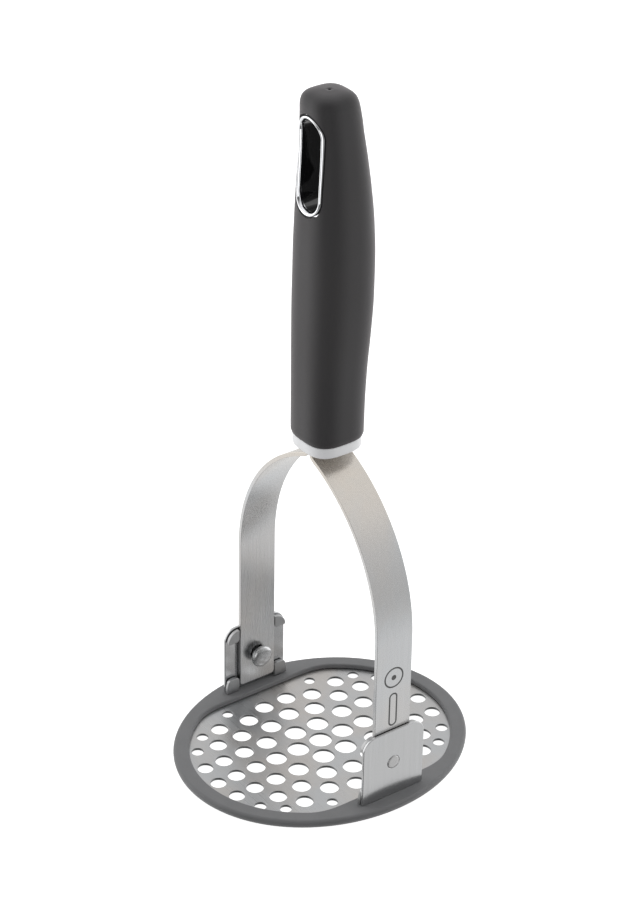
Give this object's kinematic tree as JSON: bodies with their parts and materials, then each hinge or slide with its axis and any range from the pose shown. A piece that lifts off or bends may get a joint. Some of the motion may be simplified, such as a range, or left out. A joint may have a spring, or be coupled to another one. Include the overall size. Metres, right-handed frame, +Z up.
{
  "type": "folding potato masher",
  "caption": "Folding potato masher: perforated oval steel head with a silicone rim, hinged on spring-strip legs under a soft-touch handle with a hanging slot.",
  "frame": {"origin": "middle of the underside of the rim, on the plane the masher stands on", "axes": "+X from the left bracket to the right one, along both pivot pins; +Y along the long axis of the oval head, away from the grip's straight side; +Z up the handle"},
  "size_m": [0.0952, 0.11, 0.2549],
  "materials": {
    "sheet_steel": "satin stainless sheet with punched holes",
    "silicone": "matt grey silicone",
    "bracket_steel": "dull pressed stainless",
    "pin_steel": "turned stainless, lightly polished",
    "strip_steel": "lengthwise brushed spring strip",
    "pale_plastic": "smooth pale silver",
    "hard_plastic": "moulded core, hidden",
    "soft_grip": "charcoal soft-touch coating",
    "liner_black": "smooth glossy black tube",
    "bezel_chrome": "mirror-bright plating"
  },
  "bodies": {
    "mashing_head": {"mashing_plate": "sheet_steel", "silicone_rim": "silicone", "left_bracket_plate": "bracket_steel", "left_guide_cap_front": "bracket_steel", "left_guide_cap_back": "bracket_steel", "left_guide_foot_front": "bracket_steel", "left_guide_foot_back": "bracket_steel", "left_pivot_pin": "pin_steel", "right_bracket_plate": "bracket_steel", "right_guide_cap_front": "bracket_steel", "right_guide_cap_back": "bracket_steel", "right_guide_foot_front": "bracket_steel", "right_guide_foot_back": "bracket_steel", "right_pivot_pin": "pin_steel"},
    "handle_assembly": {"grip_shell": "soft_grip", "handle_core": "hard_plastic", "hang_slot_liner": "liner_black", "hang_bezel_front": "bezel_chrome", "hang_bezel_back": "bezel_chrome", "collar": "pale_plastic", "tang_rivet_lower": "pin_steel", "tang_rivet_upper": "pin_steel"},
    "left_leg_spring": {"left_leg": "strip_steel"},
    "right_leg_spring": {"right_leg": "strip_steel"}
  },
  "joints": [
    {"name": "fold", "type": "hinge", "parent": "mashing_head", "child": "handle_assembly", "pos_m": [0, 0, 0.0178], "axis": [1, 0, 0], "range_deg": [-90, 90], "deforming": ["left_leg", "right_leg"]},
    {"name": "left_squeeze", "type": "hinge", "parent": "handle_assembly", "child": "left_leg_spring", "pos_m": [-0.00095, 0, 0.12488], "axis": [0, -1, 0], "range_deg": [0, 0.97], "stiffness_Nm_per_rad": 12},
    {"name": "right_squeeze", "type": "hinge", "parent": "handle_assembly", "child": "right_leg_spring", "pos_m": [0.00095, 0, 0.12488], "axis": [0, 1, 0], "range_deg": [0, 0.97], "stiffness_Nm_per_rad": 12}
  ],
  "couplings": [
    {"joint": "right_squeeze", "follows": "left_squeeze", "ratio": 1}
  ]
}
